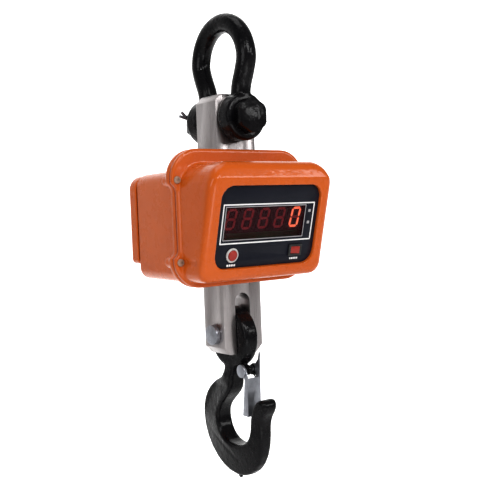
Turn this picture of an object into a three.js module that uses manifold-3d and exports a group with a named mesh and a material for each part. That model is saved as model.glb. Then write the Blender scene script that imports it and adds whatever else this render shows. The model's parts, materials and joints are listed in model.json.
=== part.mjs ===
// Crane scale: a steel load bar in a cast housing, hung from a bow shackle, with a latched hook below.
// Millimetres, +Z up. The display faces -Y and X runs to the right of someone reading it.
// The origin is the bearing point at the top of the inside of the shackle bow.
import * as THREE from "three";
import { mergeVertices } from "three/addons/utils/BufferGeometryUtils.js";
import Module from "manifold-3d";

const wasm = await Module();
wasm.setup();

// ---------- driving dimensions ----------
const GAP = 0.3; // between pieces that touch

// shackle, 1 inch bow pattern
const PIN_Z = -110; // shackle pin's axis
const STOCK_R = 12.7; // bow stock
const BOW_R = 49.5; // centreline of the round top of the bow
const BOW_MID_Z = STOCK_R - BOW_R; // height of the bow's widest point
const JAW = 22.8; // half the space between the eyes
const EYE_R = 30;
const EYE_OUT = 47.6; // outer face of an eye
const PIN_R = 14.3;
const HEAD_H = 12.5; // pin head and nut
const HEX_HEAD = 40; // across flats
const COTTER_R = 2;
const COTTER_Y = 64.2;
const COTTER_TURN = 28; // degrees above level, legs towards -X

// load bar
const BAR_X = 30; // half width
const BAR_Y = 21.5; // half depth
const BAR_TOP = -80;
const BAR_BOTTOM = -410.5;
const BAR_CHAMFER = 9;
const SLOT_X = 11.8; // half width of the hook slot
const SLOT_TOP = -332.5;
const HOOK_PIN_Z = -385;
const HOOK_PIN_R = 12;

// housing
const FLANGE_X = 104;
const FLANGE_TOP = -150;
const FLANGE_BOTTOM = -320;
const FLANGE_CORNER = 37;
const WAIST_X = 97; // flange half width between its screw ears
const FLANGE_FRONT = -31;
const SEAM_FRONT = -24.3; // back of the front lip
const SEAM_BACK = -22.5; // front of the rear lip
const FLANGE_BACK = -14;
const SCREW_X = 97.5;
const SCREW_Z = [-188, -287];
const WALL = 4;

const FRONT_X = 94.5; // front box half width
const FRONT_TOP = -169;
const FRONT_BOTTOM = -312;
const FRONT_MID_Z = (FRONT_TOP + FRONT_BOTTOM) / 2;
const FRONT_Y = -86.6; // front face at mid height
const TILT = THREE.MathUtils.degToRad(15); // the front face looks down by this
const FRONT_EDGE = 9;

const REAR_X = 93;
const REAR_TOP = -174;
const REAR_BOTTOM = -313;
const REAR_Y = 82;
const REAR_DRAFT = 4.2; // each side, over the rear box's depth

const DOOR_X = 90;
const DOOR_TOP = -177;
const DOOR_BOTTOM = -292;
const DOOR_BACK = 100;
const HINGE_Y = 87.5;
const HINGE_Z = -296.6;
const LATCH_X = 74; // door fasteners
const LATCH_Z = -196;

// display face, in its own frame: x right, y up the face, z out of it, zero on the panel's surface
const FACE = [0, -80.7, -247];
const RIM = 4; // how far the front box stands out of the panel
const PANEL_X = 77;
const PANEL_Y = 50.6;
const PANEL_T = 2.5;
const PANEL_CORNER = 17;
const WINDOW = { x: -4.9, y: 4.4, w: 122, h: 39, t: 2.2 };
const DIGITS = 5;
const DIGIT_PITCH = 24.8;
const DIGIT_LAST_X = 43;
const DIGIT_Y = 9;
const BUTTON = { x: -50.5, y: -34.6, r: 6.4 };
const SWITCH = { x: 47.5, y: -33.3, w: 21, h: 15 };

// hook
const RING_Z = HOOK_PIN_Z - 5.7; // centre of the hook's eye
const RING_OUT = 40; // outside radius of the eye
const RING_IN = 18.5;
const RING_X = 11.2; // half width of the eye
const HOOK_X = 13; // half width of the body
const BOWL_Z = -500;
const BOWL_R = 33;
const BACK_TAPER = 0.45; // how much thinner the hook's back is than its bowl
const NECK_X = 10.8; // half width of the neck
const PIVOT_Y = -28.7; // latch pivot
const PIVOT_Z = -431.5;
const LUG_X = 3.3; // half width of the lug that carries the latch
const LATCH_HALF = 10.4; // latch half width
const SHEET = 1.5;

// ---------- solids ----------
function solidOf(geometry) {
  const bare = geometry.clone();
  bare.deleteAttribute("normal");
  bare.deleteAttribute("uv");
  const merged = mergeVertices(bare, 1e-3);
  return new wasm.Manifold(
    new wasm.Mesh({
      numProp: 3,
      vertProperties: merged.attributes.position.array,
      triVerts: new Uint32Array(merged.index.array),
    }),
  );
}

function geometryOf(solid) {
  const mesh = solid.getMesh();
  const geometry = new THREE.BufferGeometry();
  geometry.setAttribute("position", new THREE.BufferAttribute(mesh.vertProperties, 3));
  geometry.setIndex(new THREE.BufferAttribute(mesh.triVerts, 1));
  return geometry;
}

const join = (...parts) => geometryOf(parts.map(solidOf).reduce((a, b) => a.add(b)));
const cut = (base, ...tools) =>
  geometryOf(tools.map(solidOf).reduce((a, b) => a.subtract(b), solidOf(base)));
const common = (a, b) => geometryOf(solidOf(a).intersect(solidOf(b)));

// ---------- shape helpers ----------
function box(x0, x1, y0, y1, z0, z1) {
  const g = new THREE.BoxGeometry(x1 - x0, y1 - y0, z1 - z0);
  return g.translate((x0 + x1) / 2, (y0 + y1) / 2, (z0 + z1) / 2);
}

function rodX(r, x0, x1, y, z, sides = 24) {
  const g = new THREE.CylinderGeometry(r, r, x1 - x0, sides).rotateZ(-Math.PI / 2);
  return g.translate((x0 + x1) / 2, y, z);
}

function rodY(r, y0, y1, x, z, sides = 24) {
  return new THREE.CylinderGeometry(r, r, y1 - y0, sides).translate(x, (y0 + y1) / 2, z);
}

function rodZ(r, z0, z1, x, y, sides = 24) {
  const g = new THREE.CylinderGeometry(r, r, z1 - z0, sides).rotateX(Math.PI / 2);
  return g.translate(x, y, (z0 + z1) / 2);
}

function roundedOutline(left, right, bottom, top, rBottom, rTop = rBottom) {
  const s = new THREE.Shape();
  s.moveTo(left + rBottom, bottom);
  s.lineTo(right - rBottom, bottom);
  s.absarc(right - rBottom, bottom + rBottom, rBottom, -Math.PI / 2, 0);
  s.lineTo(right, top - rTop);
  s.absarc(right - rTop, top - rTop, rTop, 0, Math.PI / 2);
  s.lineTo(left + rTop, top);
  s.absarc(left + rTop, top - rTop, rTop, Math.PI / 2, Math.PI);
  s.lineTo(left, bottom + rBottom);
  s.absarc(left + rBottom, bottom + rBottom, rBottom, Math.PI, 1.5 * Math.PI);
  return s;
}

// An outline extruded along +Z, with its edges rounded by edge inside the outline.
function extrude(shape, depth, edge = 0, curveSegments = 5, rounds = 3) {
  const g = new THREE.ExtrudeGeometry(shape, {
    depth: depth - 2 * edge,
    bevelEnabled: edge > 0,
    bevelThickness: edge,
    bevelSize: edge,
    bevelOffset: -edge,
    bevelSegments: rounds,
    curveSegments,
  });
  return g.translate(0, 0, edge);
}

// The outline's own axes become X and Z.
function alongY(shape, yFront, yBack, edge, curveSegments, rounds) {
  const g = extrude(shape, yBack - yFront, edge, curveSegments, rounds);
  return g.rotateX(Math.PI / 2).translate(0, yBack, 0);
}

// The outline's own axes become Y and Z.
function alongX(shape, x0, x1, edge, curveSegments, rounds) {
  const turn = new THREE.Matrix4().makeBasis(
    new THREE.Vector3(0, 1, 0),
    new THREE.Vector3(0, 0, 1),
    new THREE.Vector3(1, 0, 0),
  );
  const g = extrude(shape, x1 - x0, edge, curveSegments, rounds);
  return g.applyMatrix4(turn).translate(x0, 0, 0);
}

function polygon(corners) {
  return new THREE.Shape(corners.map(([x, y]) => new THREE.Vector2(x, y)));
}

function hexY(acrossFlats, y0, y1, x, z) {
  const g = new THREE.CylinderGeometry(acrossFlats / Math.sqrt(3), acrossFlats / Math.sqrt(3), y1 - y0, 6);
  return g.translate(x, (y0 + y1) / 2, z);
}

function tube(curve, radius, steps, sides) {
  const ring = new THREE.Shape();
  ring.absarc(0, 0, radius, 0, 2 * Math.PI);
  const g = new THREE.ExtrudeGeometry(ring, {
    extrudePath: curve,
    steps,
    curveSegments: sides,
    bevelEnabled: false,
  });
  return g;
}

// ---------- the assembled scene ----------
const scale = new THREE.Group();
const face = new THREE.Group();
face.position.set(...FACE);
face.rotation.x = Math.PI / 2 + TILT;
face.updateMatrix();
scale.add(face);

const finishes = {
  black: { color: 0x1a1a1c, roughness: 0.35, metalness: 0.3 },
  steel: { color: 0xb5b0ae, roughness: 0.38, metalness: 0.9 },
  zinc: { color: 0xb9bcc4, roughness: 0.4, metalness: 0.8 },
  orange: { color: 0xd2581f, roughness: 0.3, metalness: 0 },
  rubber: { color: 0x1c1c1c, roughness: 0.9, metalness: 0 },
  panel: { color: 0x20232e, roughness: 0.4, metalness: 0 },
  window: { color: 0x3a0a10, roughness: 0.15, metalness: 0 },
  led: { color: 0x26080a, roughness: 0.5, metalness: 0 },
  red: { color: 0xb02a20, roughness: 0.4, metalness: 0 },
  light: { color: 0xcfcac6, roughness: 0.4, metalness: 0 },
  board: { color: 0x1f5a34, roughness: 0.5, metalness: 0 },
  battery: { color: 0x33363b, roughness: 0.6, metalness: 0 },
};

function add(name, geometry, finish, parent = scale) {
  const mesh = new THREE.Mesh(geometry, new THREE.MeshStandardMaterial(finishes[finish]));
  mesh.name = name;
  parent.add(mesh);
}

// A cutting tool drawn in the face's frame, moved to the part's frame.
const onFace = (geometry) => geometry.applyMatrix4(face.matrix);

// ---------- shackle ----------
function bowCurve() {
  const half = [
    [34.8, PIN_Z],
    [34.9, -86],
    [37, -71],
    [44.2, -54],
  ];
  const points = half.map(([y, z]) => new THREE.Vector3(0, -y, z));
  const turns = 10;
  for (let i = 0; i <= turns; i++) {
    const a = Math.PI * (1 - i / turns);
    points.push(new THREE.Vector3(0, BOW_R * Math.cos(a), BOW_MID_Z + BOW_R * Math.sin(a)));
  }
  for (const [y, z] of half.reverse()) points.push(new THREE.Vector3(0, y, z));
  return new THREE.CatmullRomCurve3(points, false, "centripetal");
}

function shackle() {
  const hole = rodY(PIN_R + GAP, -60, 60, 0, PIN_Z, 32);
  const eyes = [-1, 1].map((side) => {
    const outer = new THREE.Shape();
    outer.absarc(0, PIN_Z, EYE_R, 0, 2 * Math.PI);
    const [y0, y1] = side < 0 ? [-EYE_OUT, -JAW] : [JAW, EYE_OUT];
    return alongY(outer, y0, y1, 4, 20, 2);
  });
  const jaw = box(-40, 40, -JAW, JAW, PIN_Z - 40, BAR_TOP + 6);
  const stock = cut(tube(bowCurve(), STOCK_R, 52, 8), box(-20, 20, -60, 60, PIN_Z - 20, PIN_Z));
  add("shackle_bow", cut(join(stock, ...eyes), jaw, hole), "black");

  const head = hexY(HEX_HEAD, -EYE_OUT - GAP - HEAD_H, -EYE_OUT - GAP, 0, PIN_Z);
  const headRound = rodY(HEX_HEAD / 2 + 1.6, -EYE_OUT - HEAD_H - 1, -EYE_OUT, 0, PIN_Z, 32);
  const shank = rodY(PIN_R, -EYE_OUT - 2, COTTER_Y + 5, 0, PIN_Z, 32);
  const tilt = THREE.MathUtils.degToRad(-COTTER_TURN);
  const cross = rodX(COTTER_R + 0.5, -30, 30, 0, 0, 12).rotateY(-tilt).translate(0, COTTER_Y, PIN_Z);
  add("shackle_pin", cut(join(common(head, headRound), shank), cross), "black");

  const nut = hexY(HEX_HEAD, EYE_OUT + GAP, EYE_OUT + GAP + HEAD_H, 0, PIN_Z);
  add("shackle_nut", cut(nut, rodY(PIN_R + GAP, 0, 80, 0, PIN_Z, 32)), "black");

  const legs = [8, -8].map((bend) => {
    const leg = rodX(COTTER_R, -14, 0, 0, 0, 10);
    return leg.rotateY(THREE.MathUtils.degToRad(bend * 1.6)).translate(-16, 0, 0);
  });
  const loop = new THREE.TorusGeometry(4.2, COTTER_R, 8, 16).rotateX(Math.PI / 2).translate(21, 0, 0);
  const cotter = join(rodX(COTTER_R, -17, 18, 0, 0, 10), ...legs, loop);
  add("shackle_cotter", cotter.rotateY(-tilt).translate(0, COTTER_Y, PIN_Z), "zinc");
}

// ---------- load bar ----------
function loadBar() {
  const c = BAR_CHAMFER;
  const outline = new THREE.Shape();
  outline.moveTo(-BAR_X + c, BAR_BOTTOM);
  outline.lineTo(BAR_X - c, BAR_BOTTOM);
  outline.lineTo(BAR_X, BAR_BOTTOM + c);
  outline.lineTo(BAR_X, BAR_TOP - c);
  outline.lineTo(BAR_X - c, BAR_TOP);
  outline.lineTo(-BAR_X + c, BAR_TOP);
  outline.lineTo(-BAR_X, BAR_TOP - c);
  outline.lineTo(-BAR_X, BAR_BOTTOM + c);
  const body = alongY(outline, -BAR_Y, BAR_Y);
  const slot = roundedOutline(-SLOT_X, SLOT_X, BAR_BOTTOM - 30, SLOT_TOP, 1, SLOT_X - 0.01);
  const pockets = [-1, 1].map((side) => {
    const x = side * BAR_X;
    return box(Math.min(x, x - side * 6), Math.max(x, x - side * 6), -10, 10, -284, -246);
  });
  const tapped = [[-31, -20], [20, 31]].map(([x0, x1]) => rodX(4 + GAP, x0, x1, 0, -205, 16));
  const bar = cut(
    body,
    alongY(slot, -40, 40, 0, 10),
    rodY(PIN_R + GAP, -40, 40, 0, PIN_Z, 32),
    rodX(HOOK_PIN_R + GAP, -40, 40, 0, HOOK_PIN_Z, 32),
    ...pockets,
    ...tapped,
  );
  add("load_bar", bar, "steel");

  for (const [name, side] of [["left", -1], ["right", 1]]) {
    const x0 = side * (BAR_X + GAP);
    const lid = alongX(roundedOutline(-14, 14, -289, -241, 4), 0, 1.5, 0.4, 3, 1);
    lid.translate(side < 0 ? x0 - 1.5 : x0, 0, 0);
    add(`gauge_cover_${name}`, lid, "zinc");

    const leaf = box(Math.min(x0, x0 + side * 3), Math.max(x0, x0 + side * 3), -14, 14, -222, -178.6);
    const shelf = box(Math.min(x0, x0 + side * 30), Math.max(x0, x0 + side * 30), -14, 14, -181.6, -178.6);
    const bolted = rodX(4 + GAP, Math.min(x0, x0 + side * 8) - 2, Math.max(x0, x0 + side * 8), 0, -205, 16);
    add(`housing_bracket_${name}`, cut(join(leaf, shelf), bolted), "zinc");

    const inner = side * 22;
    const seat = x0 + side * (3 + GAP);
    const outer = seat + side * 5;
    const bolt = join(
      rodX(4, Math.min(inner, seat + side), Math.max(inner, seat + side), 0, -205, 16),
      rodX(7, Math.min(seat, outer), Math.max(seat, outer), 0, -205, 6),
    );
    add(`bracket_bolt_${name}`, bolt, "zinc");
  }

  const pinEnd = BAR_X + 6;
  const headed = join(
    rodX(HOOK_PIN_R + 0.6, -pinEnd, -BAR_X - GAP, 0, HOOK_PIN_Z, 32),
    rodX(HOOK_PIN_R, -BAR_X - 2, pinEnd, 0, HOOK_PIN_Z, 32),
  );
  const groove = cut(
    rodX(HOOK_PIN_R + 2, BAR_X + 0.9, BAR_X + 3.1, 0, HOOK_PIN_Z, 32),
    rodX(HOOK_PIN_R - 1.3, BAR_X, BAR_X + 4, 0, HOOK_PIN_Z, 32),
  );
  add("hook_pin", cut(headed, groove), "steel");
  const ring = cut(
    rodX(HOOK_PIN_R + 2.6, BAR_X + 1.2, BAR_X + 2.8, 0, HOOK_PIN_Z, 32),
    rodX(HOOK_PIN_R - 1, BAR_X, BAR_X + 4, 0, HOOK_PIN_Z, 32),
    box(BAR_X, BAR_X + 4, -3, 3, HOOK_PIN_Z - 20, HOOK_PIN_Z),
  );
  add("hook_pin_ring", ring, "zinc");
}

// A rubber strip round the bar's sides and back, where it passes through the rear shell.
function barSeal(name, z0, z1) {
  const u = new THREE.Shape();
  const [inX, outX, front, inY, outY] = [BAR_X + GAP, BAR_X + 4.5, SEAM_BACK + 1, BAR_Y + GAP, BAR_Y + 5];
  u.moveTo(-outX, front);
  u.lineTo(-inX, front);
  u.lineTo(-inX, inY);
  u.lineTo(inX, inY);
  u.lineTo(inX, front);
  u.lineTo(outX, front);
  u.lineTo(outX, outY);
  u.lineTo(-outX, outY);
  add(name, extrude(u, z1 - z0).translate(0, 0, z0), "rubber");
}

// ---------- housing ----------
function flangeOutline(inset = 0) {
  const [top, bottom] = [FLANGE_TOP - inset, FLANGE_BOTTOM + inset];
  const [wide, waist, r] = [FLANGE_X - inset, WAIST_X - inset, FLANGE_CORNER - inset];
  const [earTop, earBottom] = [SCREW_Z[0] - 8, SCREW_Z[1] + 8];
  const s = new THREE.Shape();
  s.moveTo(-wide + r, bottom);
  s.lineTo(wide - r, bottom);
  s.absarc(wide - r, bottom + r, r, -Math.PI / 2, 0);
  s.bezierCurveTo(wide, earBottom - 2, waist, earBottom, waist, earBottom + 6);
  s.lineTo(waist, earTop - 6);
  s.bezierCurveTo(waist, earTop, wide, earTop + 2, wide, earTop + 6);
  s.lineTo(wide, top - r);
  s.absarc(wide - r, top - r, r, 0, Math.PI / 2);
  s.lineTo(-wide + r, top);
  s.absarc(-wide + r, top - r, r, Math.PI / 2, Math.PI);
  s.lineTo(-wide, earTop + 6);
  s.bezierCurveTo(-wide, earTop + 2, -waist, earTop, -waist, earTop - 6);
  s.lineTo(-waist, earBottom + 6);
  s.bezierCurveTo(-waist, earBottom, -wide, earBottom - 2, -wide, bottom + r);
  s.absarc(-wide + r, bottom + r, r, Math.PI, 1.5 * Math.PI);
  return s;
}

const frontOutline = (inset) =>
  roundedOutline(-FRONT_X + inset, FRONT_X - inset, FRONT_BOTTOM + inset, FRONT_TOP - inset, 15, 32);

const rearOutline = (inset) =>
  roundedOutline(-REAR_X + inset, REAR_X - inset, REAR_BOTTOM + inset, REAR_TOP - inset, 15, 18);

// Leans the front of an extrusion so that its top stands further out than its bottom.
function lean(geometry, yFront, yBack) {
  const p = geometry.attributes.position;
  for (let i = 0; i < p.count; i++) {
    const reach = (yBack - p.getY(i)) / (yBack - yFront);
    p.setY(i, p.getY(i) - reach * Math.tan(TILT) * (p.getZ(i) - FRONT_MID_Z));
  }
  return geometry;
}

// Narrows an extrusion towards its back, as a casting's draft does.
function draft(geometry, yFront, yBack) {
  const p = geometry.attributes.position;
  const mid = (REAR_TOP + REAR_BOTTOM) / 2;
  for (let i = 0; i < p.count; i++) {
    const reach = Math.max(0, (p.getY(i) - yFront) / (yBack - yFront));
    p.setX(i, p.getX(i) * (1 - (reach * REAR_DRAFT) / REAR_X));
    p.setZ(i, mid + (p.getZ(i) - mid) * (1 - reach * 0.02));
  }
  return geometry;
}

const screwSpots = [-1, 1].flatMap((side) => SCREW_Z.map((z) => [side * SCREW_X, z]));

function frontShell() {
  const shell = lean(alongY(frontOutline(0), FRONT_Y, SEAM_FRONT, FRONT_EDGE, 6, 4), FRONT_Y, SEAM_FRONT);
  const backFill = alongY(frontOutline(0), SEAM_FRONT - 10, SEAM_FRONT, 0, 6);
  const lip = alongY(flangeOutline(), FLANGE_FRONT, SEAM_FRONT, 2, 6, 2);
  const lipBack = alongY(flangeOutline(), SEAM_FRONT - 2, SEAM_FRONT, 0, 6);
  const insideFront = FRONT_Y + (RIM + 6.3) / Math.cos(TILT);
  const inside = lean(
    alongY(frontOutline(WALL), insideFront, SEAM_FRONT + 10, 0, 4),
    insideFront,
    SEAM_FRONT + 10,
  );
  const recess = roundedOutline(-PANEL_X - GAP, PANEL_X + GAP, -PANEL_Y - GAP, PANEL_Y + GAP, PANEL_CORNER);
  const well = onFace(extrude(recess, 30, 0, 6).translate(0, 0, -PANEL_T - GAP));
  const through = roundedOutline(-PANEL_X + 7, PANEL_X - 7, -PANEL_Y + 6, PANEL_Y - 16, 8);
  const opening = onFace(extrude(through, 30, 0, 4).translate(0, 0, -20));
  const holes = screwSpots.map(([x, z]) => rodY(2.3 + GAP, -60, 0, x, z, 12));
  const hollow = cut(join(shell, backFill, lip, lipBack), inside);
  const posts = [-80, 80].flatMap((x) => [-198, -284].map((z) => rodY(3.5, -105, -33, x, z, 10)));
  const kept = posts.map((post) => common(post, inside));
  const scallops = screwSpots.map(([x, z]) => rodY(4.9, -60, FLANGE_FRONT, x, z, 20));
  const wall = cut(hollow, well, opening, ...holes, ...scallops);
  add("front_shell", join(wall, ...kept.map((post) => stretchForward(post))), "orange");
}

// Runs a post a little way into the wall in front of it.
function stretchForward(post) {
  post.computeBoundingBox();
  const p = post.attributes.position;
  const front = post.boundingBox.min.y;
  for (let i = 0; i < p.count; i++) if (p.getY(i) < front + 3) p.setY(i, p.getY(i) - 2);
  return post;
}

function rearShell() {
  const body = draft(alongY(rearOutline(0), SEAM_BACK, REAR_Y, 3, 6, 2), SEAM_BACK, REAR_Y);
  const frontFill = alongY(rearOutline(0), SEAM_BACK, SEAM_BACK + 5, 0, 6);
  const lip = alongY(flangeOutline(), SEAM_BACK, FLANGE_BACK, 2, 6, 2);
  const lipFront = alongY(flangeOutline(), SEAM_BACK, SEAM_BACK + 2, 0, 6);
  const bosses = screwSpots.map(([x, z]) => rodY(7.5, SEAM_BACK, -5, x - Math.sign(x) * 1.5, z, 20));
  const inside = draft(alongY(rearOutline(WALL), SEAM_BACK - 10, REAR_Y - WALL, 0, 4), SEAM_BACK, REAR_Y);
  const barWay = box(-BAR_X - 0.8, BAR_X + 0.8, SEAM_BACK - 5, BAR_Y + 0.8, -340, -140);
  const notch = [
    box(-BAR_X - 5.2, BAR_X + 5.2, SEAM_BACK - 5, FLANGE_BACK + 1, REAR_TOP, -140),
    box(-BAR_X - 5.2, BAR_X + 5.2, SEAM_BACK - 5, FLANGE_BACK + 1, -330, REAR_BOTTOM),
  ];
  const batteryWay = alongY(roundedOutline(-66, 66, -282, -188, 6), REAR_Y - 20, REAR_Y + 10, 0, 3);
  const holes = screwSpots.map(([x, z]) => rodY(2.3 + GAP, -60, -8, x, z, 12));
  const stems = [-LATCH_X, LATCH_X].map((x) => rodY(4, REAR_Y - 10, REAR_Y + 5, x, LATCH_Z, 12));
  const hollow = cut(join(body, frontFill, lip, lipFront, ...bosses), inside);
  const ears = [-1, 1].map((side) => hingeEar(side * 52 - 7, side * 52 + 7, REAR_Y - 2, HINGE_Z - 3));
  const shell = cut(hollow, barWay, ...notch, batteryWay, ...holes, ...stems);
  add("rear_shell", cut(join(shell, ...ears), hingeBore()), "orange");
}

const hingeBore = () => rodX(1.8, -80, 80, HINGE_Y, HINGE_Z, 12);

// A knuckle on the hinge line, with the web that ties it to its casting at (y, z).
function hingeEar(x0, x1, y, z) {
  const barrel = rodX(4, x0, x1, HINGE_Y, HINGE_Z, 16);
  return join(barrel, box(x0, x1, y, HINGE_Y, z, HINGE_Z + 2.5));
}

function gasket(name, outline, holes, y0, y1) {
  outline.holes.push(...holes);
  add(name, alongY(outline, y0, y1, 0, 5), "rubber");
}

function shellJoint() {
  const ringHoles = [frontOutline(WALL + 0.5)];
  for (const [x, z] of screwSpots) {
    const hole = new THREE.Path();
    hole.absarc(x, z, 2.9, 0, 2 * Math.PI);
    ringHoles.push(hole);
  }
  gasket("shell_gasket", flangeOutline(1), ringHoles, SEAM_FRONT + GAP, SEAM_BACK - GAP);
  screwSpots.forEach(([x, z], i) => {
    const seat = FLANGE_FRONT - GAP;
    const head = new THREE.LatheGeometry(
      [[0, 0], [4.5, 0], [4.5, 1.4], [3.4, 3], [1.9, 3.2], [1.9, 1.6], [0, 1.6]].map(
        ([r, h]) => new THREE.Vector2(r, h),
      ),
      20,
    );
    head.rotateX(Math.PI).translate(x, seat, z);
    add(`shell_screw_${i + 1}`, join(head, rodY(2.3, seat - 1, -9, x, z, 12)), "steel");
  });
}

function batteryDoor() {
  const front = REAR_Y + GAP;
  const lid = roundedOutline(-DOOR_X, DOOR_X, DOOR_BOTTOM, DOOR_TOP, 6, 18);
  const outer = alongY(lid, front, DOOR_BACK, 3.5, 5, 3);
  const rim = alongY(roundedOutline(-DOOR_X, DOOR_X, DOOR_BOTTOM, DOOR_TOP, 6, 18), front, front + 5, 0, 5);
  const hollow = roundedOutline(-DOOR_X + 3, DOOR_X - 3, DOOR_BOTTOM + 3, DOOR_TOP - 3, 4, 15);
  const inside = alongY(hollow, front - 5, DOOR_BACK - 3, 0, 5);
  const stems = [-LATCH_X, LATCH_X].map((x) => rodY(2.6, front - 5, DOOR_BACK + 5, x, LATCH_Z, 12));
  const ears = [-1, 1].map((side) => {
    const x = side * 36;
    const barrel = rodX(4, x - 7, x + 7, HINGE_Y, HINGE_Z, 16);
    return join(barrel, box(x - 7, x + 7, HINGE_Y - 2.5, HINGE_Y + 4, HINGE_Z, DOOR_BOTTOM + 1));
  });
  const door = cut(join(outer, rim), inside, ...stems);
  add("battery_door", cut(join(door, ...ears), hingeBore()), "orange");
  add("door_hinge_pin", rodX(1.5, -60, 60, HINGE_Y, HINGE_Z, 12), "steel");

  const ring = roundedOutline(-DOOR_X + 3.4, DOOR_X - 3.4, DOOR_BOTTOM + 3.4, DOOR_TOP - 3.4, 4, 14);
  const gap = roundedOutline(-DOOR_X + 6.4, DOOR_X - 6.4, DOOR_BOTTOM + 6.4, DOOR_TOP - 6.4, 3, 11);
  gasket("door_gasket", ring, [gap], front, front + 2.5);

  for (const [name, x] of [["left", -LATCH_X], ["right", LATCH_X]]) {
    const knob = rodY(6.5, DOOR_BACK + GAP, DOOR_BACK + 5, x, LATCH_Z, 24);
    const grip = box(x - 8, x + 8, DOOR_BACK + 4, DOOR_BACK + 9, LATCH_Z - 1.6, LATCH_Z + 1.6);
    const round = rodY(6.5, DOOR_BACK, DOOR_BACK + 9, x, LATCH_Z, 24);
    const stem = rodY(2.1, REAR_Y - 2, DOOR_BACK + 1, x, LATCH_Z, 12);
    add(`door_fastener_${name}`, join(knob, common(grip, round), stem), "zinc");
  }
}

// ---------- inside the housing ----------
function electronics() {
  add("main_board", box(-84, 84, -32.7, -31.1, -294, -188), "board");
  add("radio_module", box(40, 62, -36.4, -33, -222, -202), "zinc");
  const tray = polygon([[25.5, -282.6], [76, -282.6], [76, -281], [27.1, -281], [27.1, -215], [25.5, -215]]);
  add("battery_tray", alongX(tray, -64, 64), "zinc");
  add("battery", alongX(roundedOutline(27.5, 75.5, -280.6, -190, 2), -64, 64, 1, 2, 1), "battery");
}

// ---------- display face ----------
function displayFace() {
  const w = WINDOW;
  const plate = roundedOutline(-PANEL_X, PANEL_X, -PANEL_Y, PANEL_Y, PANEL_CORNER);
  plate.holes.push(
    roundedOutline(w.x - w.w / 2 - GAP, w.x + w.w / 2 + GAP, w.y - w.h / 2 - GAP, w.y + w.h / 2 + GAP, 1),
  );
  const buttonHole = new THREE.Path();
  buttonHole.absarc(BUTTON.x, BUTTON.y, BUTTON.r + GAP, 0, 2 * Math.PI);
  plate.holes.push(buttonHole);
  const s = SWITCH;
  plate.holes.push(roundedOutline(s.x - 9.2, s.x + 9.2, s.y - 6.2, s.y + 6.2, 0.5));
  const studs = [-66.5, 60.5].flatMap((x) => [27.6, -18].map((y) => rodZ(2.2, -10.3, -1, x, y, 10)));
  const blank = extrude(plate, PANEL_T, 0, 8).translate(0, 0, -PANEL_T);
  add("panel_plate", join(blank, ...studs), "panel", face);

  const lens = roundedOutline(w.x - w.w / 2, w.x + w.w / 2, w.y - w.h / 2, w.y + w.h / 2, 0.8);
  add("display_window", extrude(lens, w.t, 0, 2).translate(0, 0, -w.t), "window", face);

  for (let i = 0; i < DIGITS; i++) {
    const x = DIGIT_LAST_X - (DIGITS - 1 - i) * DIGIT_PITCH;
    const block = roundedOutline(x - 12.1, x + 12.1, DIGIT_Y - 17, DIGIT_Y + 16, 0.6);
    add(`led_digit_${i + 1}`, extrude(block, 7.4, 0, 1).translate(0, 0, -10.2), "led", face);
  }
  add("display_board", box(-72, 63.5, -21, 30, -12.2, -10.6), "board", face);

  const lathe = (profile) =>
    new THREE.LatheGeometry(
      profile.map(([r, h]) => new THREE.Vector2(r, h)),
      28,
    )
      .rotateX(Math.PI / 2)
      .translate(BUTTON.x, BUTTON.y, 0);
  const r = BUTTON.r;
  const ringProfile = [[r + 0.5, GAP], [9, GAP], [9, 1], [8.2, 1.8], [r + 0.5, 1.8], [r + 0.5, GAP]];
  add("zero_button_ring", lathe(ringProfile), "light", face);
  const cap = lathe([[0, -6], [r + 1.8, -6], [r + 1.8, -4.3], [r, -4.3], [r, 2.4], [r - 1, 3.2], [0, 3.2]]);
  add("zero_button", cap, "red", face);

  const frame = roundedOutline(s.x - s.w / 2, s.x + s.w / 2, s.y - s.h / 2, s.y + s.h / 2, 1.2);
  frame.holes.push(roundedOutline(s.x - 7.2, s.x + 7.2, s.y - 4.9, s.y + 4.9, 0.4));
  const sleeve = roundedOutline(s.x - 8.8, s.x + 8.8, s.y - 5.8, s.y + 5.8, 0.4);
  sleeve.holes.push(roundedOutline(s.x - 7.2, s.x + 7.2, s.y - 4.9, s.y + 4.9, 0.4));
  const bezel = join(
    extrude(frame, 1.5, 0, 2).translate(0, 0, GAP),
    extrude(sleeve, 12, 0, 2).translate(0, 0, -11),
  );
  add("switch_bezel", bezel, "rubber", face);
  add("switch_rocker", rocker(), "red", face);
}

// A rocker with a dished top, pressed down at its left end, turning about an axis up the face.
function rocker() {
  const s = new THREE.Shape();
  s.moveTo(-6.2, -3.4);
  s.lineTo(6.2, -3.4);
  s.lineTo(6.6, 2.4);
  s.quadraticCurveTo(0, 0.6, -6.6, 2.4);
  const g = extrude(s, 9.2, 0, 5);
  g.rotateX(Math.PI / 2).translate(0, 4.6, 0).rotateY(THREE.MathUtils.degToRad(-8));
  return g.translate(SWITCH.x, SWITCH.y, 0);
}

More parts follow.
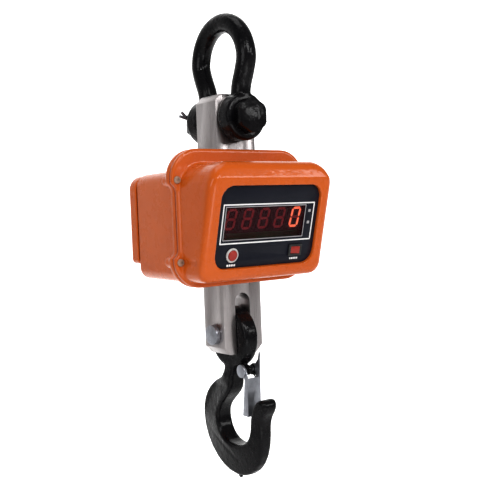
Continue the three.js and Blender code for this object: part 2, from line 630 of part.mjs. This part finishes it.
// ---------- hook ----------
function hookOutline() {
  const s = new THREE.Shape();
  s.moveTo(9, -416);
  s.bezierCurveTo(9, -430, 11, -442, 26, -447.5);
  s.bezierCurveTo(48, -455, 68, -473, 68, -500);
  s.bezierCurveTo(68, -540, 33, -572, -4, -572);
  s.bezierCurveTo(-40, -572, -61, -546, -61, -512);
  s.bezierCurveTo(-61.2, -498, -61, -492.5, -66.5, -484.5);
  s.bezierCurveTo(-72.5, -478, -75, -469.5, -68, -465);
  s.bezierCurveTo(-61, -460.5, -50, -470, -46.5, -482);
  s.bezierCurveTo(-43, -492, -42, -496, -41, -505);
  s.bezierCurveTo(-38, -522, -24, -531, -6, -531);
  s.bezierCurveTo(14, -531, 28, -517, 28, -499);
  s.bezierCurveTo(28, -478, -3, -470, -4, -452);
  s.bezierCurveTo(-4.5, -443, -8, -438, -8, -428);
  s.lineTo(-8, -416);
  return s;
}

// A forged hook's section narrows from the inside of its bowl to its back.
function narrowBack(geometry) {
  const p = geometry.attributes.position;
  for (let i = 0; i < p.count; i++) {
    const above = Math.max(0, p.getZ(i) - BOWL_Z);
    const below = Math.min(0, p.getZ(i) - BOWL_Z);
    const fromCentre = Math.hypot(p.getY(i) + 5 + 0.68 * above, below);
    const outward = THREE.MathUtils.clamp((fromCentre - BOWL_R) / 36, 0, 1);
    const fade = THREE.MathUtils.clamp((-436 - p.getZ(i)) / 20, 0, 1);
    p.setX(i, p.getX(i) * (1 - BACK_TAPER * outward * fade));
  }
  return geometry;
}

function hook() {
  const body = narrowBack(alongX(hookOutline(), -HOOK_X, HOOK_X, 4, 7, 3));
  const eye = new THREE.Shape();
  eye.absarc(0, RING_Z, RING_OUT, 0, 2 * Math.PI);
  const eyeHole = new THREE.Path();
  eyeHole.absarc(0, RING_Z, RING_IN, 0, 2 * Math.PI);
  eye.holes.push(eyeHole);
  const ring = alongX(eye, -RING_X, RING_X, 5, 20, 3);
  const neck = box(-NECK_X, NECK_X, -40, 40, -440, -400);
  const below = box(-30, 30, -90, 90, -600, -440);
  const stem = common(body, join(neck, below));
  const lug = rodX(6.5, -LUG_X, LUG_X, PIVOT_Y, PIVOT_Z, 24);
  const web = box(-LUG_X, LUG_X, PIVOT_Y, -8, PIVOT_Z - 6.5, PIVOT_Z + 6.5);
  const hole = rodX(2.5 + GAP, -20, 20, PIVOT_Y, PIVOT_Z, 16);
  const nub = rodZ(3.2, -577, -568, 0, -4, 12);
  add("hook_body", cut(join(stem, ring, lug, web, nub), hole), "black");
}

// The latch's side cheeks, drawn in Y and Z: a round ear at the pivot and a skirt that deepens downwards.
function cheek(tall) {
  const s = new THREE.Shape();
  s.moveTo(-27.3, -489);
  s.lineTo(-33.5, -443);
  s.lineTo(PIVOT_Y - 3, PIVOT_Z - 7.2);
  s.absarc(PIVOT_Y, PIVOT_Z, 7.8, -1.97, 1.9);
  if (tall) {
    s.lineTo(-37.4, -418);
    s.lineTo(-39.9, -408.5);
    s.lineTo(-41.4, -408.5);
    s.lineTo(-39.4, -440);
  } else {
    s.lineTo(-37, -430);
    s.lineTo(-39.4, -440);
  }
  s.lineTo(-38.6, -489);
  return s;
}

function latch() {
  const left = alongX(cheek(false), -LATCH_HALF, -LATCH_HALF + SHEET, 0, 10);
  const right = alongX(cheek(true), LATCH_HALF - SHEET, LATCH_HALF, 0, 10);
  const web = new THREE.Shape();
  web.moveTo(-39.4, -440);
  web.lineTo(-39.4 + SHEET, -440);
  web.lineTo(-38.6 + SHEET, -489);
  web.lineTo(-38.6, -489);
  const plate = alongX(web, -LATCH_HALF, LATCH_HALF);
  const hole = rodX(2.5 + GAP, -20, 20, PIVOT_Y, PIVOT_Z, 16);
  add("hook_latch", cut(join(left, right, plate), hole), "zinc");

  const outer = LATCH_HALF + GAP;
  const bolt = join(
    rodX(2.5, -outer - 1, outer + 5, PIVOT_Y, PIVOT_Z, 16),
    rodX(8.4, -outer - 2, -outer, PIVOT_Y, PIVOT_Z, 24),
  );
  add("latch_bolt", bolt, "zinc");
  const bore = rodX(2.5 + GAP, outer - 2, outer + 8, PIVOT_Y, PIVOT_Z, 16);
  add("latch_nut", cut(rodX(5.5, outer, outer + 4, PIVOT_Y, PIVOT_Z, 6), bore), "zinc");
}

// Two coils round the latch bolt, one each side of the lug, tied by a loop behind the latch's web.
function latchSpring() {
  const points = [];
  const coilR = 6;
  const turns = 1.25;
  const steps = 18;
  const coil = (x, angle) =>
    new THREE.Vector3(x, PIVOT_Y + coilR * Math.cos(angle), PIVOT_Z + coilR * Math.sin(angle));
  for (let i = 0; i <= steps; i++) {
    const f = i / steps;
    points.push(coil(-4.8 - 2.6 * f, 0.25 * Math.PI + 2 * Math.PI * turns * (1 - f) - 2.4));
  }
  points.push(new THREE.Vector3(-7.2, -34.6, -443));
  points.push(new THREE.Vector3(-5, -35.6, -449));
  points.push(new THREE.Vector3(5, -35.6, -449));
  points.push(new THREE.Vector3(7.2, -34.6, -443));
  for (let i = steps; i >= 0; i--) {
    const f = i / steps;
    points.push(coil(4.8 + 2.6 * f, 0.25 * Math.PI + 2 * Math.PI * turns * (1 - f) - 2.4));
  }
  add("latch_spring", tube(new THREE.CatmullRomCurve3(points), 0.9, 100, 3), "black");
}

shackle();
loadBar();
barSeal("top_seal", REAR_TOP + GAP, REAR_TOP + 4);
barSeal("bottom_seal", REAR_BOTTOM - 4, REAR_BOTTOM - GAP);
frontShell();
rearShell();
shellJoint();
batteryDoor();
electronics();
displayFace();
hook();
latch();
latchSpring();

export default scale;
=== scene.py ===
"""Looks for the crane scale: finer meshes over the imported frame, materials, light and camera."""

import json
import math

import bmesh
import bpy
from mathutils import Matrix, Vector

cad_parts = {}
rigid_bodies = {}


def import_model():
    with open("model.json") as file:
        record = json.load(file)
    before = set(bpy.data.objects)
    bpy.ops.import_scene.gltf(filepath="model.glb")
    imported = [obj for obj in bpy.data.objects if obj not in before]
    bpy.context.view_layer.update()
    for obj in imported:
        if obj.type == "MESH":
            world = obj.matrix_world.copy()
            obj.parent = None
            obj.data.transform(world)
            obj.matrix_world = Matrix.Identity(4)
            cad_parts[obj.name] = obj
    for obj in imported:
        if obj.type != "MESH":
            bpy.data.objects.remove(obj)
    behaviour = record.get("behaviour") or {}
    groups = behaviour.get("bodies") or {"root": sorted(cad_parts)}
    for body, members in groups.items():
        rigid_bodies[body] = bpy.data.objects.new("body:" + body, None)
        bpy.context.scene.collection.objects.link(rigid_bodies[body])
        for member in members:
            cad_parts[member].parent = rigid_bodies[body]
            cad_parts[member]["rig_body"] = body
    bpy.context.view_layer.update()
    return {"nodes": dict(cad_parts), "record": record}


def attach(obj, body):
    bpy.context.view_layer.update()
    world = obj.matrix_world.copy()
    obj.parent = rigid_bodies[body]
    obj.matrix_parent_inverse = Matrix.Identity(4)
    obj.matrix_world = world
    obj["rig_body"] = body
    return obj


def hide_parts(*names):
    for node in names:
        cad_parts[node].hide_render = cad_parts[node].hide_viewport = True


MM = 0.001

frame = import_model()
NODES = frame["nodes"]

# The display face's own frame: x right, y up the face, z out of it.
FACE_CENTRE = Vector((0, -80.7, -247)) * MM
FACE_TILT = math.radians(15)
FACE = Matrix.Translation(FACE_CENTRE) @ Matrix.Rotation(math.pi / 2 + FACE_TILT, 4, "X")

# On the face, in millimetres.
WINDOW = {"x": -4.9, "y": 4.4, "w": 122, "h": 39}
WINDOW_MARGIN = 0.8
PANEL_LINE = (-70.3, 70.3, -20, 27.4)
DIGITS = 5
DIGIT_PITCH = 24.8
DIGIT_LAST_X = 43
DIGIT_Y = 9
DIGIT_SIZE = (15, 26)
SEGMENT = 3.0
SEGMENT_GAP = 0.45
SEGMENT_SLANT = math.radians(8)
SEGMENT_DEPTH = (-2.75, -2.45)  # behind the window
PRINT_DEPTH = (0.02, 0.12)
LINE_DEPTH = (0.02, 0.14)

# The hook's section, in millimetres.
HOOK_HALF = 13  # half its width at the bowl
HOOK_TAPER = 0.45  # share of that lost at the back
BOWL_Y = -5
BOWL_Z = -500
BOWL_RADIUS = 33
BOWL_LEAN = 0.68  # how far the bowl's middle line moves forward per millimetre up
BACK_DEPTH = 36  # from the bowl to the back
TAPER_TOP_Z = -436
TAPER_FADE = 20
FLANK_TOP_Z = -452  # nothing above this is moved
NUB_HALF = 5.5  # nor the nub between the flanks
FLANK_FACING = (0.70, 0.92)  # sideways part of the normal: from an edge to a flank

# The front shell's hood above the display face, in millimetres.
HOOD_EDGE_Z = -190
HOOD_BACK_Y = -55
HOOD_FADE = 30
HOOD_SLOPE = 0.42  # back per millimetre up


# ---------- materials ----------
class Nodes:
    """A small helper for building a material's node tree."""

    def __init__(self, name):
        self.material = bpy.data.materials.new(name)
        self.material.use_nodes = True
        self.tree = self.material.node_tree
        self.shader = self.tree.nodes["Principled BSDF"]
        self.place = self.tree.nodes.new("ShaderNodeTexCoord").outputs["Object"]

    def set(self, **values):
        for name, value in values.items():
            self.shader.inputs[name.replace("_", " ")].default_value = value
        return self

    def node(self, kind, inputs=None, **settings):
        n = self.tree.nodes.new(kind)
        for key, value in settings.items():
            setattr(n, key, value)
        for key, value in (inputs or {}).items():
            if isinstance(value, bpy.types.NodeSocket):
                self.tree.links.new(value, n.inputs[key])
            else:
                n.inputs[key].default_value = value
        return n

    def stretched(self, scale):
        return self.node("ShaderNodeMapping", {"Vector": self.place, "Scale": scale}).outputs["Vector"]

    def noise(self, scale, detail=4, rough=0.55, at=None):
        n = self.node(
            "ShaderNodeTexNoise",
            {"Vector": at or self.place, "Scale": scale, "Detail": detail, "Roughness": rough},
        )
        return n.outputs["Fac"]

    def ramp(self, value, stops):
        n = self.node("ShaderNodeValToRGB", {"Fac": value})
        band = n.color_ramp
        while len(band.elements) < len(stops):
            band.elements.new(0.5)
        for element, (at, colour) in zip(band.elements, stops):
            element.position = at
            element.color = (*colour, 1)
        return n.outputs["Color"]

    def range(self, value, low, high, start, end):
        """Maps start..end to low..high."""
        n = self.node(
            "ShaderNodeMapRange",
            {"Value": value, "From Min": start, "From Max": end, "To Min": low, "To Max": high},
        )
        return n.outputs["Result"]

    def mottle(self, scale, detail, dark, light):
        """Noise between two colours."""
        return self.ramp(self.noise(scale, detail), [(0.3, dark), (0.7, light)])

    def gloss(self, scale, detail, low, high):
        """Noise between two roughnesses."""
        self.to("Roughness", self.range(self.noise(scale, detail), low, high, 0.3, 0.7))

    def mix(self, factor, a, b):
        """Blends two colours; 6, 7 and 2 are the node's colour sockets A, B and Result."""
        n = self.node("ShaderNodeMix", data_type="RGBA")
        for socket, value in ((n.inputs["Factor"], factor), (n.inputs[6], a), (n.inputs[7], b)):
            if isinstance(value, bpy.types.NodeSocket):
                self.tree.links.new(value, socket)
            else:
                socket.default_value = value
        return n.outputs[2]

    def to(self, socket, value):
        self.tree.links.new(value, self.shader.inputs[socket])

    def bump(self, *heights):
        """Stacks (height, strength, distance) bumps on the shader's normal."""
        normal = None
        for height, strength, distance in heights:
            inputs = {"Height": height, "Strength": strength, "Distance": distance}
            if normal:
                inputs["Normal"] = normal
            normal = self.node("ShaderNodeBump", inputs).outputs["Normal"]
        self.to("Normal", normal)
        return normal


def grey(value):
    return (value, value, value)


def orange_enamel():
    m = Nodes("orange_enamel").set(Coat_Weight=0.5, Coat_Roughness=0.05, Specular_IOR_Level=0.14)
    m.to("Base Color", m.mottle(9, 3, (0.58, 0.104, 0.008), (0.66, 0.130, 0.012)))
    m.gloss(60, 5, 0.22, 0.36)
    m.to("Coat Normal", m.bump((m.noise(650, 3), 0.06, 0.0003), (m.noise(90, 2), 0.12, 0.0012)))
    return m.material


def black_enamel():
    m = Nodes("black_enamel").set(Coat_Weight=0.22, Coat_Roughness=0.05, Specular_IOR_Level=0.08)
    stops = [(0.3, (0.003, 0.003, 0.004)), (0.75, (0.009, 0.008, 0.009))]
    m.to("Base Color", m.ramp(m.noise(35, 4), stops))
    m.gloss(80, 5, 0.16, 0.36)
    m.to("Coat Normal", m.bump((m.noise(260, 4), 0.30, 0.0006), (m.noise(60, 3), 0.45, 0.0026)))
    return m.material


def brushed_bar():
    m = Nodes("bar_steel").set(Metallic=0.92, Specular_IOR_Level=0.5)
    along = m.noise(6, 6, 0.7, m.stretched((170, 170, 3)))
    blotch = m.noise(22, 4)
    tone = m.ramp(along, [(0.3, (0.39, 0.36, 0.36)), (0.7, (0.50, 0.47, 0.465))])
    m.to("Base Color", m.mix(m.range(blotch, 0, 0.35, 0.45, 0.7), tone, (0.32, 0.285, 0.28, 1)))
    m.to("Roughness", m.range(along, 0.24, 0.38, 0.3, 0.7))
    m.bump((along, 0.10, 0.0004), (m.noise(500, 3), 0.05, 0.0003))
    return m.material


def zinc_plate():
    m = Nodes("zinc_plate").set(Metallic=0.85)
    m.to("Base Color", m.mottle(120, 4, (0.30, 0.31, 0.34), (0.44, 0.45, 0.49)))
    m.gloss(200, 5, 0.26, 0.46)
    m.bump((m.noise(700, 3), 0.10, 0.0003))
    return m.material


def seal_rubber():
    m = Nodes("seal_rubber").set(Specular_IOR_Level=0.3)
    m.to("Base Color", m.mottle(150, 3, grey(0.012), grey(0.028)))
    m.gloss(260, 4, 0.65, 0.85)
    m.bump((m.noise(800, 2), 0.15, 0.0003))
    return m.material


def panel_film():
    m = Nodes("panel_film").set(Specular_IOR_Level=0.16)
    m.to("Base Color", m.mottle(14, 3, (0.009, 0.010, 0.017), (0.015, 0.016, 0.025)))
    m.gloss(90, 4, 0.30, 0.42)
    m.bump((m.noise(1400, 2), 0.08, 0.0002))
    return m.material


def window_tint():
    m = Nodes("window_tint").set(Alpha=0.30, Specular_IOR_Level=0.15)
    m.to("Base Color", m.mottle(20, 2, (0.030, 0.003, 0.006), (0.045, 0.004, 0.008)))
    m.gloss(60, 3, 0.10, 0.18)
    m.bump((m.noise(40, 2), 0.02, 0.0004))
    return m.material


def led_block():
    m = Nodes("led_block").set(Specular_IOR_Level=0.3)
    m.to("Base Color", m.mottle(60, 3, (0.018, 0.004, 0.006), (0.030, 0.006, 0.009)))
    m.gloss(160, 4, 0.45, 0.6)
    m.bump((m.noise(900, 2), 0.08, 0.0002))
    return m.material


def segment_off():
    m = Nodes("segment_off").set(Specular_IOR_Level=0.3)
    m.to("Base Color", m.mottle(90, 3, (0.42, 0.040, 0.050), (0.54, 0.055, 0.065)))
    m.gloss(160, 4, 0.40, 0.55)
    return m.material


def segment_lit():
    m = Nodes("segment_lit").set(Emission_Strength=1.6)
    glow = m.mottle(120, 3, (1.0, 0.15, 0.075), (1.0, 0.24, 0.13))
    m.to("Base Color", glow)
    m.to("Emission Color", glow)
    return m.material


def coloured_plastic(name, dark, light, rough, grain=0.10):
    m = Nodes(name).set(Specular_IOR_Level=0.5)
    m.to("Base Color", m.mottle(70, 3, dark, light))
    m.gloss(220, 4, rough, rough + 0.14)
    m.bump((m.noise(900, 3), grain, 0.0003))
    return m.material


MATERIALS = {
    "orange_enamel": orange_enamel(),
    "black_enamel": black_enamel(),
    "bar_steel": brushed_bar(),
    "zinc_plate": zinc_plate(),
    "seal_rubber": seal_rubber(),
    "panel_film": panel_film(),
    "window_tint": window_tint(),
    "led_block": led_block(),
    "red_plastic": coloured_plastic("red_plastic", (0.30, 0.020, 0.013), (0.42, 0.032, 0.020), 0.28),
    "pale_plastic": coloured_plastic("pale_plastic", (0.52, 0.50, 0.49), (0.66, 0.64, 0.62), 0.30),
    "black_plastic": coloured_plastic("black_plastic", grey(0.010), grey(0.022), 0.40),
    "board_green": coloured_plastic("board_green", (0.012, 0.080, 0.030), (0.025, 0.130, 0.050), 0.40),
    "battery_case": coloured_plastic("battery_case", grey(0.030), grey(0.050), 0.55),
}
SEGMENT_OFF = segment_off()
SEGMENT_LIT = segment_lit()
PRINT_WHITE = coloured_plastic("print_white", (0.84, 0.83, 0.82), (0.93, 0.92, 0.91), 0.45, 0.04)
PRINT_GREY = coloured_plastic("print_grey", (0.34, 0.33, 0.34), (0.44, 0.43, 0.44), 0.45, 0.04)
PAINTED_SEAL = coloured_plastic("painted_seal", (0.30, 0.045, 0.010), (0.38, 0.060, 0.014), 0.5)
SCREW_STEEL = coloured_plastic("screw_steel", (0.34, 0.21, 0.15), (0.46, 0.30, 0.22), 0.28)

SLOT_OF = {s["node"]: s["material_slot"] for s in frame["record"]["subparts"]}


def dress(obj, material):
    obj.data.materials.clear()
    obj.data.materials.append(material)


# ---------- finer meshes over CAD nodes ----------
def copy_of(node, suffix):
    """A welded copy of a CAD node's mesh, riding with its body and standing for it."""
    mesh = bpy.data.meshes.new(f"{node}_{suffix}")
    bm = bmesh.new()
    bm.from_mesh(NODES[node].data)
    bmesh.ops.remove_doubles(bm, verts=bm.verts, dist=0.01 * MM)
    bmesh.ops.dissolve_limit(bm, angle_limit=math.radians(0.5), verts=bm.verts, edges=bm.edges)
    bm.to_mesh(mesh)
    bm.free()
    piece = bpy.data.objects.new(f"{node}_{suffix}", mesh)
    bpy.context.scene.collection.objects.link(piece)
    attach(piece, NODES[node]["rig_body"])
    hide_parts(node)
    dress(piece, MATERIALS[SLOT_OF[node]])
    return piece


def apply(piece):
    """Bakes a piece's modifiers into its mesh."""
    bpy.context.view_layer.update()
    evaluated = piece.evaluated_get(bpy.context.evaluated_depsgraph_get())
    baked = bpy.data.meshes.new_from_object(evaluated)
    piece.modifiers.clear()
    piece.data = baked


def machined(node, edge):
    """Breaks the sharp edges of a cut or pressed part."""
    sharp = math.radians(32)
    piece = copy_of(node, "edged")
    bevel = piece.modifiers.new("edge", "BEVEL")
    bevel.width = edge * MM
    bevel.segments = 2
    bevel.limit_method = "ANGLE"
    bevel.angle_limit = sharp
    bevel.use_clamp_overlap = True
    apply(piece)
    piece.data.shade_smooth()
    piece.data.set_sharp_from_angle(angle=sharp)
    return piece


def clamped(value):
    return min(1, max(0, value))


def fair_flanks(mesh):
    """Draws the hook's two flanks to one smooth taper, from 26 mm at the bowl to 14 mm at the back."""
    edge, flank = FLANK_FACING
    normals = [v.normal.copy() for v in mesh.vertices]
    for vertex, normal in zip(mesh.vertices, normals):
        x, y, z = (c / MM for c in vertex.co)
        if z > FLANK_TOP_Z or abs(x) < NUB_HALF:
            continue
        above, below = max(0, z - BOWL_Z), min(0, z - BOWL_Z)
        radius = math.hypot(y - BOWL_Y + BOWL_LEAN * above, below)
        outward = clamped((radius - BOWL_RADIUS) / BACK_DEPTH)
        half = HOOK_HALF * (1 - HOOK_TAPER * outward * min(1, (TAPER_TOP_Z - z) / TAPER_FADE))
        facing = clamped((abs(normal.x) - edge) / (flank - edge))
        vertex.co.x += facing * (math.copysign(half, x) - x) * MM


def slope_hood(mesh):
    """Slopes the top of the front shell back from the upper edge of its display face."""
    for vertex in mesh.vertices:
        y, z = vertex.co.y / MM, vertex.co.z / MM
        if z > HOOD_EDGE_Z and y < HOOD_BACK_Y:
            fade = min(1, (HOOD_BACK_Y - y) / HOOD_FADE)
            vertex.co.y += HOOD_SLOPE * (z - HOOD_EDGE_Z) * fade * MM


RESHAPE = {"hook_body": fair_flanks, "front_shell": slope_hood}


def forged(node, voxel, rounds):
    """Rounds every edge and inner corner, as a forging or casting under thick paint has them."""
    piece = copy_of(node, "cast")
    remesh = piece.modifiers.new("remesh", "REMESH")
    remesh.mode = "VOXEL"
    remesh.voxel_size = voxel * MM
    if node in RESHAPE:
        apply(piece)
        RESHAPE[node](piece.data)
    soften = piece.modifiers.new("soften", "SMOOTH")
    soften.factor = 0.5
    soften.iterations = rounds
    apply(piece)
    piece.data.shade_smooth()


# Voxel size in millimetres, and rounds of smoothing.
FORGED = {
    "shackle_bow": (1.1, 10),
    "hook_body": (1.1, 26),
    "front_shell": (1.2, 4),
    "rear_shell": (1.2, 4),
    "battery_door": (1.2, 4),
}
# Width of the broken edge, in millimetres.
MACHINED = {
    "load_bar": 0.7,
    "shackle_pin": 0.8,
    "shackle_nut": 0.8,
    "hook_pin": 0.6,
    "hook_latch": 0.3,
    "latch_bolt": 0.5,
    "latch_nut": 0.4,
    "panel_plate": 0.25,
    "switch_bezel": 0.35,
    "switch_rocker": 0.35,
    "door_fastener_left": 0.3,
    "door_fastener_right": 0.3,
}

for name, (voxel, rounds) in FORGED.items():
    forged(name, voxel, rounds)
for name, edge in MACHINED.items():
    piece = machined(name, edge)
    if name == "hook_pin":
        dress(piece, MATERIALS["zinc_plate"])

for name, node in NODES.items():
    dress(node, MATERIALS[SLOT_OF[name]])
for name in ("shell_gasket", "door_gasket"):
    dress(NODES[name], PAINTED_SEAL)
for i in range(1, 5):
    dress(NODES[f"shell_screw_{i}"], SCREW_STEEL)


# ---------- pieces on the display face ----------
def on_face(name, outline, depth, material, holes=()):
    """A thin plate on the display face: its outline in face millimetres, between two heights."""
    z0, z1 = depth
    curve = bpy.data.curves.new(name, "CURVE")
    curve.dimensions = "2D"
    curve.fill_mode = "BOTH"
    for ring in (outline, *holes):
        spline = curve.splines.new("POLY")
        spline.points.add(len(ring) - 1)
        for point, (x, y) in zip(spline.points, ring):
            point.co = (x * MM, y * MM, 0, 1)
        spline.use_cyclic_u = True
    curve.extrude = (z1 - z0) / 2 * MM
    shape = bpy.data.objects.new(name + "_curve", curve)
    bpy.context.scene.collection.objects.link(shape)
    bpy.context.view_layer.update()
    mesh = bpy.data.meshes.new_from_object(shape.evaluated_get(bpy.context.evaluated_depsgraph_get()))
    bpy.data.objects.remove(shape)
    mesh.transform(FACE @ Matrix.Translation((0, 0, (z0 + z1) / 2 * MM)))
    mesh.name = name
    piece = bpy.data.objects.new(name, mesh)
    bpy.context.scene.collection.objects.link(piece)
    dress(piece, material)
    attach(piece, "scale_body")


def rounded(x0, x1, y0, y1, r, steps=5):
    """A rounded rectangle's outline."""
    ring = []
    corners = ((x1 - r, y0 + r), (x1 - r, y1 - r), (x0 + r, y1 - r), (x0 + r, y0 + r))
    for (cx, cy), start in zip(corners, (-90, 0, 90, 180)):
        for i in range(steps + 1):
            a = math.radians(start + 90 * i / steps)
            ring.append((cx + r * math.cos(a), cy + r * math.sin(a)))
    return ring


def line_frame(name, x0, x1, y0, y1, width, material):
    half = width / 2
    outer = rounded(x0 - half, x1 + half, y0 - half, y1 + half, 0.9)
    inner = rounded(x0 + half, x1 - half, y0 + half, y1 - half, 0.4)
    on_face(name, outer, LINE_DEPTH, material, holes=(inner,))


def segment_shapes(x, y):
    """The seven bars of one digit, each a six-sided outline, as (name, outline)."""
    width, height = DIGIT_SIZE
    half = SEGMENT / 2
    left, right = -width / 2 + half, width / 2 - half
    low, high = -height / 2 + half, height / 2 - half
    lean = math.tan(SEGMENT_SLANT)

    def bar(x0, y0, x1, y1):
        dx, dy = x1 - x0, y1 - y0
        length = math.hypot(dx, dy)
        ux, uy = dx / length, dy / length
        a, b = SEGMENT_GAP, length - SEGMENT_GAP
        ring = [(a, 0), (a + half, half), (b - half, half), (b, 0), (b - half, -half), (a + half, -half)]
        points = [(x0 + ux * s - uy * t, y0 + uy * s + ux * t) for s, t in ring]
        return [(x + px + lean * py, y + py) for px, py in points]

    return [
        ("top", bar(left, high, right, high)),
        ("middle", bar(left, 0, right, 0)),
        ("bottom", bar(left, low, right, low)),
        ("upper_left", bar(left, 0, left, high)),
        ("upper_right", bar(right, 0, right, high)),
        ("lower_left", bar(left, low, left, 0)),
        ("lower_right", bar(right, low, right, 0)),
    ]


def display():
    for i in range(DIGITS):
        x = DIGIT_LAST_X - (DIGITS - 1 - i) * DIGIT_PITCH
        for part, ring in segment_shapes(x, DIGIT_Y):
            lit = i == DIGITS - 1 and part != "middle"
            material = SEGMENT_LIT if lit else SEGMENT_OFF
            on_face(f"digit_{i + 1}_{part}", ring, SEGMENT_DEPTH, material)
    half_w = WINDOW["w"] / 2 + WINDOW_MARGIN
    half_h = WINDOW["h"] / 2 + WINDOW_MARGIN
    x, y = WINDOW["x"], WINDOW["y"]
    line_frame("window_line", x - half_w, x + half_w, y - half_h, y + half_h, 1.0, PRINT_GREY)
    line_frame("panel_line", *PANEL_LINE, 1.7, PRINT_WHITE)


def marks():
    """Plain printed marks: a row of strokes under each control and two indicators beside the window."""
    gap = 0.8
    for name, x, y, count, width in (
        ("zero_mark", -50.5, -47.2, 4, 2.6),
        ("switch_mark", 47.5, -44.4, 5, 2.0),
    ):
        left = x - (count * (width + gap) - gap) / 2
        for i in range(count):
            at = left + i * (width + gap)
            stroke = rounded(at, at + width, y - 1.3, y + 1.3, 0.4, 2)
            on_face(f"{name}_{i + 1}", stroke, PRINT_DEPTH, PRINT_WHITE)
    for i, y in enumerate((17, 2)):
        lamp = rounded(61.8, 65.8, y - 1.8, y + 1.8, 0.6, 3)
        on_face(f"indicator_{i + 1}", lamp, LINE_DEPTH, PRINT_GREY)


display()
marks()


# ---------- light, stage and camera ----------
FLOOR_Z = -1.05
BACK_Y = 2.4
SWEEP_REACH = 6.0
SWEEP_TOP = 5.0
SWEEP_BEND = 1.0
BEND_STEPS = 12
VIEW_AWAY = (0.61, 0.79, 0)  # level, from the camera towards the scale
VIEW_ACROSS = (0.79, -0.61, 0)


def sweep_profile():
    """The sweep's section as (y, z): a floor, a quarter bend and a back wall."""
    bend_y, bend_z = BACK_Y - SWEEP_BEND, FLOOR_Z + SWEEP_BEND
    profile = [(-SWEEP_REACH, FLOOR_Z), (bend_y, FLOOR_Z)]
    for i in range(1, BEND_STEPS + 1):
        a = math.radians(-90 + 90 * i / BEND_STEPS)
        profile.append((bend_y + SWEEP_BEND * math.cos(a), bend_z + SWEEP_BEND * math.sin(a)))
    return [*profile, (BACK_Y, SWEEP_TOP)]


def sweep_white():
    """White that glows only behind the scale, so the paint has darker things to mirror at the sides."""
    m = Nodes("studio_white").set(Roughness=0.9, Emission_Strength=0.9)
    m.to("Base Color", m.mottle(2, 2, grey(0.90), grey(0.94)))
    away = m.node("ShaderNodeVectorMath", {0: m.place, 1: VIEW_AWAY}, operation="DOT_PRODUCT")
    across = m.node("ShaderNodeVectorMath", {0: m.place, 1: VIEW_ACROSS}, operation="DOT_PRODUCT")
    far = m.range(away.outputs["Value"], 0, 1, 0.5, 1.0)
    near_axis = m.range(across.outputs["Value"], 0, 1, -2.1, -1.3)
    glow = m.node("ShaderNodeMath", {0: far, 1: near_axis}, operation="MULTIPLY").outputs["Value"]
    m.to("Emission Color", m.ramp(glow, [(0, grey(0.10)), (1, grey(1.0))]))
    return m.material


def stage():
    profile = sweep_profile()
    bm = bmesh.new()
    rows = [[bm.verts.new((x, y, z)) for y, z in profile] for x in (-SWEEP_REACH, SWEEP_REACH)]
    for i in range(len(profile) - 1):
        bm.faces.new((rows[0][i], rows[1][i], rows[1][i + 1], rows[0][i + 1]))
    mesh = bpy.data.meshes.new("studio_sweep")
    bm.to_mesh(mesh)
    bm.free()
    mesh.shade_smooth()
    sweep = bpy.data.objects.new("studio_sweep", mesh)
    bpy.context.scene.collection.objects.link(sweep)
    dress(sweep, sweep_white())


CENTRE = (0, 0, -0.27)
# Name, place, target, size and power in watts.
LIGHTS = [
    ("key", (-0.2, -2.0, 1.0), CENTRE, (1.0, 0.7), 19),
    ("left_fill", (-2.2, -0.6, 0.2), CENTRE, (0.8, 1.4), 9),
    ("top", (-0.2, 0.1, 1.9), CENTRE, (1.2, 1.2), 9),
    ("right_card", (1.35, -1.75, 0.25), (0, 0, -0.1), (0.9, 0.30), 6),
    ("spark", (-1.5, -1.5, 1.1), CENTRE, (0.16, 0.16), 5),
    ("spark_right", (0.7, -1.9, 0.7), CENTRE, (0.10, 0.30), 3),
    ("low_fill", (-0.4, -1.6, -0.95), CENTRE, (0.9, 0.4), 3),
]
WORLD_STRENGTH = 0.20


def area_light(name, at, target, size, power):
    data = bpy.data.lights.new(name, "AREA")
    data.shape = "RECTANGLE"
    data.size, data.size_y = size
    data.energy = power
    light = bpy.data.objects.new(name, data)
    light.location = at
    light.rotation_euler = (Vector(target) - Vector(at)).to_track_quat("-Z", "Y").to_euler()
    bpy.context.scene.collection.objects.link(light)


def lights():
    for light in LIGHTS:
        area_light(*light)
    world = bpy.data.worlds.new("studio")
    bpy.context.scene.world = world
    world.use_nodes = True
    background = world.node_tree.nodes["Background"]
    background.inputs["Color"].default_value = (1, 1, 1, 1)
    background.inputs["Strength"].default_value = WORLD_STRENGTH


CAMERA_AT = (-0.62917, -0.86034, -0.22904)
CAMERA_AZIMUTH = -37.55
CAMERA_ELEVATION = 2.68
CAMERA_ROLL = -2.24
CAMERA_LENS = 59.08
SENSOR_WIDTH = 36


def camera():
    azimuth, elevation, roll = map(math.radians, (CAMERA_AZIMUTH, CAMERA_ELEVATION, CAMERA_ROLL))
    flat = math.cos(elevation)
    back = Vector((math.sin(azimuth) * flat, -math.cos(azimuth) * flat, math.sin(elevation)))
    level = (-back).cross(Vector((0, 0, 1))).normalized()
    upright = level.cross(-back)
    right = math.cos(roll) * level + math.sin(roll) * upright
    up = math.cos(roll) * upright - math.sin(roll) * level
    data = bpy.data.cameras.new("camera")
    data.sensor_width = SENSOR_WIDTH
    data.lens = CAMERA_LENS
    cam = bpy.data.objects.new("camera", data)
    turn = Matrix((right, up, back)).transposed().to_4x4()
    cam.matrix_world = Matrix.Translation(CAMERA_AT) @ turn
    bpy.context.scene.collection.objects.link(cam)
    bpy.context.scene.camera = cam


view = bpy.context.scene.view_settings
view.view_transform = "Standard"
view.gamma = 0.85
view.exposure = 0.12
stage()
lights()
camera()
